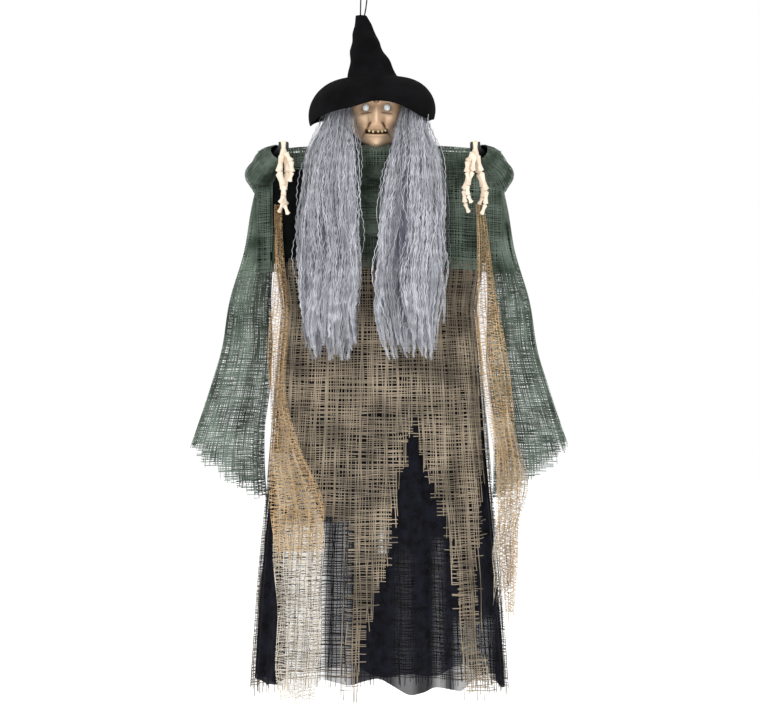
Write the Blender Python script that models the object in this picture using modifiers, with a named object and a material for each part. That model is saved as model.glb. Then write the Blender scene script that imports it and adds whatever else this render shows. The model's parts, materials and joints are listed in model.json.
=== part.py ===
"""Animated witch figure that hangs from a cord loop: a felt hat and a moulded head on a neck swivel,
a battery drive box that lifts both arms through a gear pair, free-swinging hands, and cloth layers.

Metres, +Z up. The figure faces -Y, and +X is on the right of someone who looks at its face.
Everything is modelled about the arm shaft, which lies along X through (0, 0, 0). The empty
figure_frame then carries the whole figure so that the top of the hanging loop is at the origin.
"""

import math

import bmesh
import bpy
from mathutils import Matrix, Vector

# Driving dimensions
HANG_POINT = Vector((-0.026, 0.0, 0.300))  # top of the hanging loop above the arm shaft
GAP = 0.0003  # between pieces that touch
HEAD_X = -0.005

# Drive box
BOX_HALF_X = 0.055
BOX_HALF_Y = 0.030
BOX_TOP = 0.026
BOX_BOTTOM = -0.130
BOX_WALL = 0.0025
POST_X = 0.047
POST_TOP_Z = 0.018
POST_BOTTOM_Z = -0.121
POST_RADIUS = 0.0045
SCREW_RADIUS = 0.0015
SCREW_HOLE_RADIUS = 0.0019
SCREW_TIP_Y = -0.012

# Arm shaft and gear pair: module 1 mm, 25 degree stub teeth
SHAFT_RADIUS = 0.004
SHAFT_HALF = 0.074
BUSH_OUTER = 0.007
GEAR_MODULE = 0.001
SECTOR_TEETH = 40
SECTOR_TEETH_CUT = 11
PINION_TEETH = 12
GEAR_X = -0.020
GEAR_CENTRES = GEAR_MODULE * (SECTOR_TEETH + PINION_TEETH) / 2 + 0.0001
PINION_Z = -GEAR_CENTRES
MOTOR_SHAFT_RADIUS = 0.0024

# Arms: the centreline at +X, mirrored for the other side
ARM_POINTS = [
    (0.0765, 0.0, 0.0),
    (0.100, 0.003, -0.003),
    (0.150, 0.012, -0.016),
    (0.186, 0.015, -0.026),
    (0.202, 0.004, -0.026),
    (0.200, -0.030, -0.012),
    (0.180, -0.070, 0.009),
    (0.163, -0.096, 0.022),
]
ARM_RADIUS = 0.005
SLEEVE_RADIUS = 0.023
WRIST = Vector((0.157, -0.111, 0.026))
WRIST_PIN_RADIUS = 0.0015

# Head
HEAD_CENTRE = Vector((HEAD_X, -0.005, 0.100))
HEAD_HALF = Vector((0.047, 0.058, 0.066))
HEAD_WALL = 0.0025
EYE_X = 0.0175
EYE_Z = 0.096
NECK_RADIUS = 0.011
BEARING_Z = 0.0445
BEARING_RADIUS = 0.0190
BEARING_HEIGHT = 0.008

# Hat: the cone's foot and tip, then the brim's inner radius and its breadth in front and at the sides
HAT_FOOT = Vector((-0.0125, -0.004, 0.154))
HAT_TIP = Vector((-0.031, -0.002, 0.2585))
BRIM_START = 0.0445
BRIM_FRONT = 0.066
BRIM_SIDE = 0.115
BRIM_STEPS = 8
BRIM_COLUMNS = 28

LOOP_Y = 0.004
LOOP_RADIUS = 0.0012
LOOP_BEND = 0.0055

# Battery compartment in the back half
CELL_RADIUS = 0.0071
CELL_LENGTH = 0.050
CELL_Y = 0.0165
CELL_PITCH = 0.0152
CELL_TOP_Z = -0.0815
DOOR_HALF_X = 0.0335
DOOR_TOP_Z = -0.0695
DOOR_BOTTOM_Z = -0.1245

SWITCH_Z = -0.050
SWITCH_X = 0.043

CLOTH = 0.003  # thickness of every cloth solid


def clear_scene():
    for obj in list(bpy.data.objects):
        bpy.data.objects.remove(obj)


def new_collection(name):
    collection = bpy.data.collections.new(name)
    bpy.context.scene.collection.children.link(collection)
    return collection


clear_scene()
PARTS = new_collection("animated_witch")
HELPERS = new_collection("cutters")
FRAME = bpy.data.objects.new("figure_frame", None)
PARTS.objects.link(FRAME)
FRAME.location = -HANG_POINT


def make_material(name, colour, roughness, metallic=0.0):
    material = bpy.data.materials.new(name)
    material.use_nodes = True
    shader = material.node_tree.nodes["Principled BSDF"]
    shader.inputs["Base Color"].default_value = (*colour, 1.0)
    shader.inputs["Roughness"].default_value = roughness
    shader.inputs["Metallic"].default_value = metallic
    return material


MATERIALS = {
    "black_felt": make_material("black_felt", (0.012, 0.012, 0.013), 0.95),
    "grey_hair": make_material("grey_hair", (0.45, 0.47, 0.52), 0.60),
    "skin": make_material("skin", (0.68, 0.47, 0.33), 0.45),
    "bone": make_material("bone", (0.80, 0.72, 0.64), 0.50),
    "eye_lens": make_material("eye_lens", (0.75, 0.78, 0.80), 0.15),
    "green_burlap": make_material("green_burlap", (0.060, 0.085, 0.065), 0.95),
    "black_cloth": make_material("black_cloth", (0.015, 0.015, 0.018), 0.90),
    "tan_gauze": make_material("tan_gauze", (0.42, 0.32, 0.21), 0.95),
    "black_plastic": make_material("black_plastic", (0.02, 0.02, 0.02), 0.50),
    "white_plastic": make_material("white_plastic", (0.75, 0.74, 0.70), 0.40),
    "steel": make_material("steel", (0.56, 0.57, 0.58), 0.30, 1.0),
    "brass": make_material("brass", (0.66, 0.48, 0.20), 0.35, 1.0),
    "circuit_green": make_material("circuit_green", (0.02, 0.16, 0.06), 0.45),
    "cell_sleeve": make_material("cell_sleeve", (0.05, 0.10, 0.25), 0.35),
    "black_cord": make_material("black_cord", (0.015, 0.015, 0.015), 0.80),
}


def place(obj, name, material, helper=False):
    """Names the object, files it in its collection, and hangs it on the figure's frame."""
    obj.name = name
    for collection in list(obj.users_collection):
        collection.objects.unlink(obj)
    (HELPERS if helper else PARTS).objects.link(obj)
    obj.parent = FRAME
    if helper:
        obj.hide_render = True
        obj.display_type = "WIRE"
    elif material:
        obj.data.materials.append(MATERIALS[material])
    return obj


def mesh_object(name, material, bm, helper=False):
    mesh = bpy.data.meshes.new(name)
    bm.normal_update()
    bm.to_mesh(mesh)
    bm.free()
    return place(bpy.data.objects.new(name, mesh), name, material, helper)


AXIS_TURNS = {
    "X": Matrix.Rotation(math.pi / 2, 4, "Y"),
    "Y": Matrix.Rotation(-math.pi / 2, 4, "X"),
    "Z": Matrix.Identity(4),
}


def add_box(name, material, low, high, bevel=0.0, helper=False):
    """A box between two corners, with its vertical and horizontal edges rounded by bevel."""
    low, high = Vector(low), Vector(high)
    bm = bmesh.new()
    bmesh.ops.create_cube(bm, size=1.0)
    size = high - low
    bmesh.ops.scale(bm, vec=size, verts=bm.verts)
    obj = mesh_object(name, material, bm, helper)
    obj.location = (low + high) / 2
    if bevel:
        rounding = obj.modifiers.new("rounding", "BEVEL")
        rounding.width = bevel
        rounding.segments = 2
    return obj


def add_cylinder(name, material, radius, start, end, axis, segments=24, helper=False):
    """A cylinder along one axis: start and end are its two face centres."""
    start, end = Vector(start), Vector(end)
    bm = bmesh.new()
    bmesh.ops.create_cone(
        bm, cap_ends=True, segments=segments, radius1=radius, radius2=radius,
        depth=(end - start).length, matrix=AXIS_TURNS[axis],
    )
    obj = mesh_object(name, material, bm, helper)
    obj.location = (start + end) / 2
    if not helper:
        obj.data.set_sharp_from_angle(angle=math.radians(40))
    return obj


def add_turned(name, material, profile, location, axis="Z", steps=24):
    """A (radius, height) profile turned about the axis. It runs from axis to axis, or is a closed ring."""
    bm = bmesh.new()
    verts = [bm.verts.new((r, 0.0, z)) for r, z in profile]
    for start, end in zip(verts, verts[1:]):
        bm.edges.new((start, end))
    if profile[0][0] > 0:
        bm.edges.new((verts[-1], verts[0]))
    obj = mesh_object(name, material, bm)
    obj.matrix_local = Matrix.Translation(location) @ AXIS_TURNS[axis]
    turn = obj.modifiers.new("turn", "SCREW")
    turn.steps = steps
    turn.render_steps = steps
    turn.use_merge_vertices = True
    turn.merge_threshold = 0.00001
    return obj


def add_ring(name, material, outer, inner, start, length, axis, steps=24):
    """A plain ring or bush from start along its axis."""
    profile = [(outer, length), (outer, 0.0), (inner, 0.0), (inner, length)]
    return add_turned(name, material, profile, Vector(start), axis, steps)


def add_wire(name, material, points, radius, resolution=2, radii=None, caps=True):
    """A round tube along a chain of points."""
    curve = bpy.data.curves.new(name, "CURVE")
    curve.dimensions = "3D"
    curve.bevel_depth = radius
    curve.bevel_resolution = resolution
    curve.use_fill_caps = caps
    spline = curve.splines.new("POLY")
    spline.points.add(len(points) - 1)
    for i, point in enumerate(points):
        spline.points[i].co = (*point, 1.0)
        spline.points[i].radius = radii[i] if radii else 1.0
    return place(bpy.data.objects.new(name, curve), name, material)


def add_sheet(name, material, rows, cyclic, thickness=CLOTH, offset=-1.0):
    """An open surface through rows of points, thickened with Solidify. Cyclic rows are closed loops."""
    bm = bmesh.new()
    grid = [[bm.verts.new(p) for p in row] for row in rows]
    columns = len(rows[0]) if cyclic else len(rows[0]) - 1
    for upper, lower in zip(grid, grid[1:]):
        for i in range(columns):
            j = (i + 1) % len(upper)
            bm.faces.new((upper[i], lower[i], lower[j], upper[j]))
    obj = mesh_object(name, material, bm)
    skin = obj.modifiers.new("thickness", "SOLIDIFY")
    skin.thickness = thickness
    skin.offset = offset
    skin.use_even_offset = True
    return obj


def add_loft(name, material, rings):
    """A closed solid through rings of points, listed from the top down, with flat ends."""
    bm = bmesh.new()
    grid = [[bm.verts.new(p) for p in ring] for ring in rings]
    for upper, lower in zip(grid, grid[1:]):
        for i in range(len(upper)):
            j = (i + 1) % len(upper)
            bm.faces.new((upper[i], lower[i], lower[j], upper[j]))
    bm.faces.new(grid[0])
    bm.faces.new(list(reversed(grid[-1])))
    bmesh.ops.recalc_face_normals(bm, faces=bm.faces)
    return mesh_object(name, material, bm)


def ellipse(centre, half_x, half_y, count, first=0.0):
    """Points round a level ellipse, anticlockwise from above."""
    cx, cy, cz = centre
    turns = [first + 2 * math.pi * i / count for i in range(count)]
    return [Vector((cx + half_x * math.cos(t), cy + half_y * math.sin(t), cz)) for t in turns]


def combine(obj, other, operation):
    change = obj.modifiers.new(operation.lower(), "BOOLEAN")
    change.operation = operation
    change.object = other
    change.solver = "EXACT"


def cut(obj, *cutters):
    for cutter in cutters:
        combine(obj, cutter, "DIFFERENCE")


def join(obj, *others):
    for other in others:
        combine(obj, other, "UNION")


# ---------------------------------------------------------------- gears


def involute_tooth(teeth, module, thin):
    """One tooth's outline as (radius, angle) from its left root to its right root, centred on angle 0."""
    pressure = math.radians(25)
    pitch = module * teeth / 2
    base = pitch * math.cos(pressure)
    tip = pitch + 0.75 * module
    root = pitch - 1.15 * module
    spread = math.tan(pressure) - pressure
    half = math.pi / (2 * teeth) - thin / (2 * pitch)
    flank = []
    start = max(root, base)
    for i in range(5):
        radius = start + (tip - start) * i / 4
        roll = math.acos(min(1.0, base / radius))
        flank.append((radius, half + spread - (math.tan(roll) - roll)))
    foot = (root, flank[0][1] + 0.10 / teeth)
    left = [foot] + flank
    return [(r, -a) for r, a in left] + [(r, a) for r, a in reversed(left)]


def gear_outline(teeth, module, first, count, thin=0.00012):
    """The outline of count teeth, from tooth number first on, as (y, z) points round the axis."""
    tooth = involute_tooth(teeth, module, thin)
    points = []
    for n in range(first, first + count):
        middle = 2 * math.pi * n / teeth
        points += [(r * math.sin(middle + a), -r * math.cos(middle + a)) for r, a in tooth]
    return points


def add_plate(name, material, outlines, x, thickness):
    """A flat plate across X whose outlines are closed (y, z) loops: the outer one, then any holes."""
    curve = bpy.data.curves.new(name, "CURVE")
    curve.dimensions = "2D"
    curve.fill_mode = "BOTH"
    curve.extrude = thickness / 2
    for outline in outlines:
        spline = curve.splines.new("POLY")
        spline.points.add(len(outline) - 1)
        spline.use_cyclic_u = True
        for point, (y, z) in zip(spline.points, outline):
            point.co = (y, z, 0.0, 1.0)
    obj = place(bpy.data.objects.new(name, curve), name, material)
    obj.matrix_local = Matrix.Translation((x, 0, 0)) @ Matrix(
        ((0, 0, 1, 0), (1, 0, 0, 0), (0, 1, 0, 0), (0, 0, 0, 1))
    )
    return obj


def circle_points(radius, count, centre=(0.0, 0.0)):
    turns = [2 * math.pi * i / count for i in range(count)]
    return [(centre[0] + radius * math.cos(t), centre[1] + radius * math.sin(t)) for t in turns]


def build_sector_gear():
    """A toothed sector below the shaft, on a round hub."""
    first = -(SECTOR_TEETH_CUT // 2)
    rim = gear_outline(SECTOR_TEETH, GEAR_MODULE, first, SECTOR_TEETH_CUT)
    hub = 0.0085
    half_span = math.radians(65)
    back = [
        (-hub * math.sin(half_span + (math.pi - half_span) * 2 * i / 12 - math.pi),
         hub * math.cos(half_span + (math.pi - half_span) * 2 * i / 12 - math.pi))
        for i in range(13)
    ]
    bore = circle_points(SHAFT_RADIUS + GAP, 24)
    return add_plate("sector_gear", "white_plastic", [rim + back, bore], GEAR_X, 0.005)


def build_pinion():
    """The motor's pinion, one half tooth round so that a gap faces the sector's middle tooth."""
    outline = gear_outline(PINION_TEETH, GEAR_MODULE, 0, PINION_TEETH)
    turn = math.pi + math.pi / PINION_TEETH
    c, s = math.cos(turn), math.sin(turn)
    outline = [(y * c - z * s, y * s + z * c + PINION_Z) for y, z in outline]
    bore = circle_points(MOTOR_SHAFT_RADIUS + GAP, 16, (0.0, PINION_Z))
    add_plate("drive_pinion", "white_plastic", [outline, bore], GEAR_X, 0.007)
    add_cylinder(
        "motor_shaft", "steel", MOTOR_SHAFT_RADIUS,
        (GEAR_X - 0.005, 0, PINION_Z), (-0.003, 0, PINION_Z), "X", 16,
    )


# ---------------------------------------------------------------- drive box


def box_half(name, front):
    """One half of the drive box: an open shell split at Y = 0, with two pairs of screw posts."""
    side = -1 if front else 1
    low_y, high_y = sorted((side * GAP / 2, side * BOX_HALF_Y))
    shell = add_box(
        name, "black_plastic", (-BOX_HALF_X, low_y, BOX_BOTTOM), (BOX_HALF_X, high_y, BOX_TOP)
    )
    inner_y = side * (BOX_HALF_Y - BOX_WALL)
    hollow_low, hollow_high = sorted((-side * 0.01, inner_y))
    hollow = add_box(
        name + "_hollow", None,
        (-BOX_HALF_X + BOX_WALL, hollow_low, BOX_BOTTOM + BOX_WALL),
        (BOX_HALF_X - BOX_WALL, hollow_high, BOX_TOP - BOX_WALL),
        helper=True,
    )
    cut(shell, hollow)
    wall_y = side * (BOX_HALF_Y - BOX_WALL / 2)
    for z in (POST_TOP_Z, POST_BOTTOM_Z):
        for x in (-POST_X, POST_X):
            label = f"{name}_post_{x:.3f}_{z:.3f}"
            post = add_cylinder(
                label, None, POST_RADIUS, (x, wall_y, z), (x, side * GAP / 2, z), "Y", 16, True
            )
            join(shell, post)
            hole = add_cylinder(
                label + "_hole", None, SCREW_HOLE_RADIUS,
                (x, 0.04 if side > 0 else SCREW_TIP_Y - 0.002, z), (x, -0.001 * side, z),
                "Y", 16, True,
            )
            cut(shell, hole)
    for x in (-BOX_HALF_X, BOX_HALF_X):
        seat = add_cylinder(
            f"{name}_seat_{x:.3f}", None, BUSH_OUTER + GAP,
            (x - 0.01, 0, 0), (x + 0.01, 0, 0), "X", 24, True,
        )
        cut(shell, seat)
    return shell


def build_box_front():
    shell = box_half("housing_front", True)
    speaker_z = -0.092
    for ring, count in ((0.0, 1), (0.007, 6), (0.014, 10)):
        for i in range(count):
            turn = 2 * math.pi * i / count
            x, z = ring * math.cos(turn), speaker_z + ring * math.sin(turn)
            sound_hole = add_cylinder(
                f"sound_hole_{ring:.3f}_{i}", None, 0.0014, (x, -0.035, z), (x, -0.02, z),
                "Y", 8, True,
            )
            cut(shell, sound_hole)
    sensor_hole = add_cylinder(
        "sensor_hole", None, 0.0052, (0.030, -0.035, -0.020), (0.030, -0.02, -0.020), "Y", 16, True
    )
    cut(shell, sensor_hole)
    add_cylinder(
        "sound_sensor", "black_plastic", 0.0048, (0.030, -0.0315, -0.020), (0.030, -0.022, -0.020),
        "Y", 16,
    )
    add_turned(
        "speaker", "steel",
        [(0.012, 0.0), (0.012, -0.004), (0.0195, -0.0065), (0.0195, -0.0080), (0.016, -0.0080),
         (0.004, -0.0040), (0.004, 0.0)],
        Vector((0, -0.0190, speaker_z)), "Y",
    )
    return shell


def build_box_back():
    shell = box_half("housing_back", False)
    opening = add_box(
        "battery_opening", None, (-0.0315, 0.02, -0.1225), (0.0315, 0.04, -0.0715), helper=True
    )
    slot = add_box(
        "switch_slot", None,
        (SWITCH_X - 0.0026, 0.02, SWITCH_Z - 0.003), (SWITCH_X + 0.0026, 0.04, SWITCH_Z + 0.011),
        helper=True,
    )
    button_hole = add_cylinder(
        "button_hole", None, 0.0050, (-SWITCH_X, 0.02, SWITCH_Z), (-SWITCH_X, 0.04, SWITCH_Z),
        "Y", 24, True,
    )
    cut(shell, opening, slot, button_hole)
    back = BOX_HALF_Y
    for side in (-1, 1):
        rail_x = sorted((side * 0.0340, side * 0.0375))
        lip_x = sorted((side * 0.0320, side * 0.0375))
        rail = add_box(
            f"door_rail_{side}", None, (rail_x[0], back - 0.001, DOOR_BOTTOM_Z),
            (rail_x[1], back + 0.0042, DOOR_TOP_Z + 0.003), helper=True,
        )
        lip = add_box(
            f"door_lip_{side}", None, (lip_x[0], back + 0.0027, DOOR_BOTTOM_Z),
            (lip_x[1], back + 0.0043, DOOR_TOP_Z + 0.003), helper=True,
        )
        join(shell, rail, lip)
    stop = add_box(
        "door_stop", None, (-0.035, back - 0.001, DOOR_TOP_Z + GAP),
        (0.035, back + 0.0041, DOOR_TOP_Z + 0.0029), helper=True,
    )
    join(shell, stop)
    return shell


def build_battery_compartment():
    tray = add_box("battery_tray", "black_plastic", (-0.033, 0.0065, -0.1235), (0.033, 0.0270, -0.0705))
    well = add_box(
        "battery_well", None, (-0.0315, 0.0082, -0.1220), (0.0315, 0.0400, -0.0720), helper=True
    )
    cut(tray, well)
    for i in range(3):
        z = CELL_TOP_Z - i * CELL_PITCH
        half = CELL_LENGTH / 2
        profile = [(0.0, half), (0.0027, half), (0.0027, half - 0.0013), (CELL_RADIUS, half - 0.0013),
                   (CELL_RADIUS, -half), (0.0, -half)]
        if i % 2:
            profile = [(r, -h) for r, h in reversed(profile)]
        add_turned(f"battery_{i + 1}", "cell_sleeve", profile, Vector((0, CELL_Y, z)), "X", 16)
    for side, name in ((-1, "contact_strip_left"), (1, "contact_strip_right")):
        inner, outer = sorted((side * 0.0303, side * 0.0309))
        add_box(name, "brass", (inner, 0.0095, -0.1205), (outer, 0.0240, -0.0735))
    door = add_box(
        "battery_door", "black_plastic",
        (-DOOR_HALF_X, BOX_HALF_Y + GAP, DOOR_BOTTOM_Z), (DOOR_HALF_X, BOX_HALF_Y + 0.0023, DOOR_TOP_Z),
    )
    for i in range(3):
        z = DOOR_BOTTOM_Z + 0.008 + 0.003 * i
        grip = add_box(
            f"door_grip_{i}", None, (-0.010, BOX_HALF_Y + 0.0015, z), (0.010, BOX_HALF_Y + 0.0032, z + 0.001),
            helper=True,
        )
        join(door, grip)


def build_electrics():
    board = add_box("circuit_board", "circuit_green", (-0.030, -0.0240, -0.0670), (0.030, -0.0224, -0.0330))
    chip = add_box("chip", None, (-0.006, -0.0230, -0.0550), (0.006, -0.0195, -0.0430), helper=True)
    plug = add_box("board_plug", None, (0.014, -0.0230, -0.0640), (0.026, -0.0165, -0.0580), helper=True)
    join(board, chip, plug)
    add_box("switch_body", "black_plastic", (SWITCH_X - 0.005, 0.0180, SWITCH_Z - 0.008),
            (SWITCH_X + 0.005, 0.0245, SWITCH_Z + 0.014))
    slider = add_box("switch_slider", "white_plastic", (SWITCH_X - 0.0021, 0.0255, SWITCH_Z - 0.0025),
                     (SWITCH_X + 0.0021, 0.0325, SWITCH_Z + 0.0025))
    foot = add_box("slider_foot", None, (SWITCH_X - 0.0045, 0.0250, SWITCH_Z - 0.0050),
                   (SWITCH_X + 0.0045, 0.0268, SWITCH_Z + 0.0050), helper=True)
    join(slider, foot)
    add_box("button_switch", "black_plastic", (-SWITCH_X - 0.006, 0.0150, SWITCH_Z - 0.006),
            (-SWITCH_X + 0.006, 0.0215, SWITCH_Z + 0.006))
    add_turned(
        "try_button", "white_plastic",
        [(0.0, 0.0320), (0.0045, 0.0320), (0.0045, 0.0262), (0.0060, 0.0262), (0.0060, 0.0240),
         (0.0, 0.0240)],
        Vector((-SWITCH_X, 0, SWITCH_Z)), "Y",
    )


def build_drive():
    gearbox = add_box("gearbox", "white_plastic", (-0.0110, -0.0130, -0.0460), (0.0170, 0.0130, -0.0090), 0.001)
    bore = add_cylinder("gearbox_bore", None, MOTOR_SHAFT_RADIUS + GAP, (-0.02, 0, PINION_Z),
                        (-0.002, 0, PINION_Z), "X", 16, True)
    cut(gearbox, bore)
    add_cylinder("motor", "steel", 0.0100, (0.0173, 0, -0.030), (0.0440, 0, -0.030), "X", 24)
    build_sector_gear()
    build_pinion()
    add_cylinder("arm_shaft", "steel", SHAFT_RADIUS, (-SHAFT_HALF, 0, 0), (SHAFT_HALF, 0, 0), "X", 24)
    for side, name in ((-1, "shaft_bush_left"), (1, "shaft_bush_right")):
        add_ring(name, "brass", BUSH_OUTER, SHAFT_RADIUS + GAP, (side * 0.054 - 0.004, 0, 0), 0.008, "X")
    number = 0
    for z in (POST_TOP_Z, POST_BOTTOM_Z):
        for x in (-POST_X, POST_X):
            number += 1
            top = BOX_HALF_Y + GAP
            add_turned(
                f"housing_screw_{number}", "steel",
                [(0.0, top + 0.0016), (0.0028, top + 0.0016), (0.0030, top), (SCREW_RADIUS, top),
                 (SCREW_RADIUS, SCREW_TIP_Y), (0.0, SCREW_TIP_Y)],
                Vector((x, 0, z)), "Y", 12,
            )


# ---------------------------------------------------------------- arms and hands


def mirrored(points, side):
    return [Vector((side * x, y, z)) for x, y, z in points]


def solid_tube(name, points, radius):
    """A round bar along a chain of points, made into a mesh so that it can be joined to others."""
    curve = add_wire(name + "_path", None, points, radius)
    graph = bpy.context.evaluated_depsgraph_get()
    mesh = bpy.data.meshes.new_from_object(curve.evaluated_get(graph))
    bpy.data.objects.remove(curve)
    bm = bmesh.new()
    bm.from_mesh(mesh)
    bpy.data.meshes.remove(mesh)
    bmesh.ops.remove_doubles(bm, verts=bm.verts, dist=0.00001)
    bmesh.ops.recalc_face_normals(bm, faces=bm.faces)
    return mesh_object(name, None, bm, True)


def join_wrist(arm, side, label):
    """Adds the fork to the end of an arm, and makes the pin that the hand hangs on."""
    x, y, z = side * WRIST.x, WRIST.y, WRIST.z
    fork = add_box(f"fork_{label}", None, (x - 0.0080, y - 0.0045, z - 0.0060),
                   (x + 0.0080, y + 0.0130, z + 0.0055), 0.001, True)
    slot = add_box(f"fork_slot_{label}", None, (x - 0.0043, y - 0.0100, z - 0.0100),
                   (x + 0.0043, y + 0.0080, z + 0.0100), helper=True)
    hole = add_cylinder(f"fork_hole_{label}", None, WRIST_PIN_RADIUS + GAP, (x - 0.02, y, z),
                        (x + 0.02, y, z), "X", 16, True)
    join(arm, fork)
    cut(arm, slot, hole)
    add_cylinder(f"wrist_pin_{label}", "steel", WRIST_PIN_RADIUS, (x - 0.0088, y, z),
                 (x + 0.0088, y, z), "X", 16)


def build_hand(side, label):
    """A bony hand hanging from its eyelet: a flat palm edge-on to the front, four fingers and a thumb."""
    x, y, z = side * WRIST.x, WRIST.y, WRIST.z
    eyelet = add_cylinder(f"hand_{label}", "bone", 0.0048, (x - 0.0038, y, z), (x + 0.0038, y, z), "X", 16)
    neck = add_box(f"carpus_{label}", None, (x - 0.0036, y - 0.0042, z - 0.026),
                   (x + 0.0036, y + 0.0042, z - 0.003), helper=True)
    palm = add_box(f"palm_{label}", None, (x - 0.0060, y - 0.0190, z - 0.062),
                   (x + 0.0060, y + 0.0190, z - 0.022), 0.003, helper=True)
    join(eyelet, neck, palm)
    for i, reach in enumerate((0.055, 0.066, 0.068, 0.058)):
        fy = y - 0.0148 + 0.0099 * i
        finger = add_box(
            f"finger_{label}_{i}", None, (x - 0.0041, fy - 0.0037, z - 0.058 - reach),
            (x + 0.0041, fy + 0.0037, z - 0.058), 0.002, helper=True,
        )
        join(eyelet, finger)
    thumb = add_box(f"thumb_{label}", None, (x - 0.0040, y - 0.0270, z - 0.078),
                    (x + 0.0040, y - 0.0175, z - 0.036), 0.002, helper=True)
    hole = add_cylinder(f"eyelet_hole_{label}", None, WRIST_PIN_RADIUS + GAP, (x - 0.02, y, z),
                        (x + 0.02, y, z), "X", 16, True)
    join(eyelet, thumb)
    cut(eyelet, hole)


def build_arm(side, label):
    """One arm: its hub on the shaft, the bent bar, the cloth sleeve round it, the wrist and the hand."""
    start = 0.0620 if side > 0 else -0.0790
    arm = add_ring(
        f"arm_{label}", "black_plastic", 0.0090, SHAFT_RADIUS + GAP, (start, 0, 0), 0.0170, "X"
    )
    end = WRIST + Vector((0.0020, 0.0110, -0.0010))
    bar = solid_tube(f"bar_{label}", mirrored(ARM_POINTS + [tuple(end)], side), ARM_RADIUS)
    join(arm, bar)
    sleeve = add_wire(
        f"sleeve_{label}", "green_burlap", mirrored(ARM_POINTS[1:-1], side), SLEEVE_RADIUS, 3,
        radii=[0.95, 1.0, 1.0, 1.0, 0.90, 0.72], caps=False,
    )
    skin = sleeve.modifiers.new("thickness", "SOLIDIFY")
    skin.thickness = CLOTH
    skin.offset = -1.0
    join_wrist(arm, side, label)
    build_hand(side, label)


# ---------------------------------------------------------------- head


def ball(name, centre, half, segments=(12, 8)):
    """An ellipsoid used to add to or cut from another piece."""
    bm = bmesh.new()
    bmesh.ops.create_uvsphere(bm, u_segments=segments[0], v_segments=segments[1], radius=1.0)
    bmesh.ops.scale(bm, vec=half, verts=bm.verts)
    obj = mesh_object(name, None, bm, True)
    obj.location = centre
    return obj


def head_half(name, material, side):
    """Half of the egg-shaped head, still solid, on one side (-1 front, 1 back) of the joint line."""
    bm = bmesh.new()
    bmesh.ops.create_uvsphere(bm, u_segments=24, v_segments=14, radius=1.0)
    bmesh.ops.scale(bm, vec=HEAD_HALF, verts=bm.verts)
    sliced = bmesh.ops.bisect_plane(
        bm, geom=bm.verts[:] + bm.edges[:] + bm.faces[:], plane_co=(0, side * GAP / 2, 0),
        plane_no=(0, side, 0), clear_inner=True,
    )
    rim = [item for item in sliced["geom_cut"] if isinstance(item, bmesh.types.BMEdge)]
    bmesh.ops.contextual_create(bm, geom=rim)
    bmesh.ops.recalc_face_normals(bm, faces=bm.faces)
    half = mesh_object(name, material, bm)
    half.location = HEAD_CENTRE
    return half


def hollow_head(half, name):
    """Turns a solid head half into a shell with the neck's opening below."""
    wall = Vector((HEAD_WALL, HEAD_WALL, HEAD_WALL))
    inside = ball(name + "_inside", HEAD_CENTRE, HEAD_HALF - wall, (24, 14))
    neck = add_cylinder(name + "_neck", None, 0.0170, (HEAD_X, 0, -0.01), (HEAD_X, 0, 0.055), "Z", 24, True)
    cut(half, inside, neck)


def build_face():
    """The front shell: nose and chin added, eyes and mouth opened."""
    face = head_half("mask_face", "skin", -1)
    nose = ball("nose", (HEAD_X, -0.062, 0.080), (0.009, 0.017, 0.022))
    chin = ball("chin", (HEAD_X, -0.055, 0.033), (0.014, 0.012, 0.017))
    jaw = ball("jaw", (HEAD_X, -0.045, 0.052), (0.024, 0.016, 0.016))
    join(face, nose, jaw, chin)
    hollow_head(face, "face")
    mouth = add_box(
        "mouth_slot", None, (HEAD_X - 0.016, -0.09, 0.0525), (HEAD_X + 0.016, -0.03, 0.0565), helper=True
    )
    cut(face, mouth)
    for side in (-1, 1):
        eye = add_cylinder(f"eye_hole_{side}", None, 0.0062, (HEAD_X + side * EYE_X, -0.09, EYE_Z),
                           (HEAD_X + side * EYE_X, -0.02, EYE_Z), "Y", 16, True)
        cut(face, eye)


def build_skull():
    """The back shell, with the hole that the loop comes out of."""
    skull = head_half("skull_back", "skin", 1)
    hollow_head(skull, "skull")
    hole = add_cylinder(
        "loop_hole", None, 0.0060, (HEAD_X, LOOP_Y, 0.158), (HEAD_X, LOOP_Y, 0.175), "Z", 16, True
    )
    cut(skull, hole)


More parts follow.
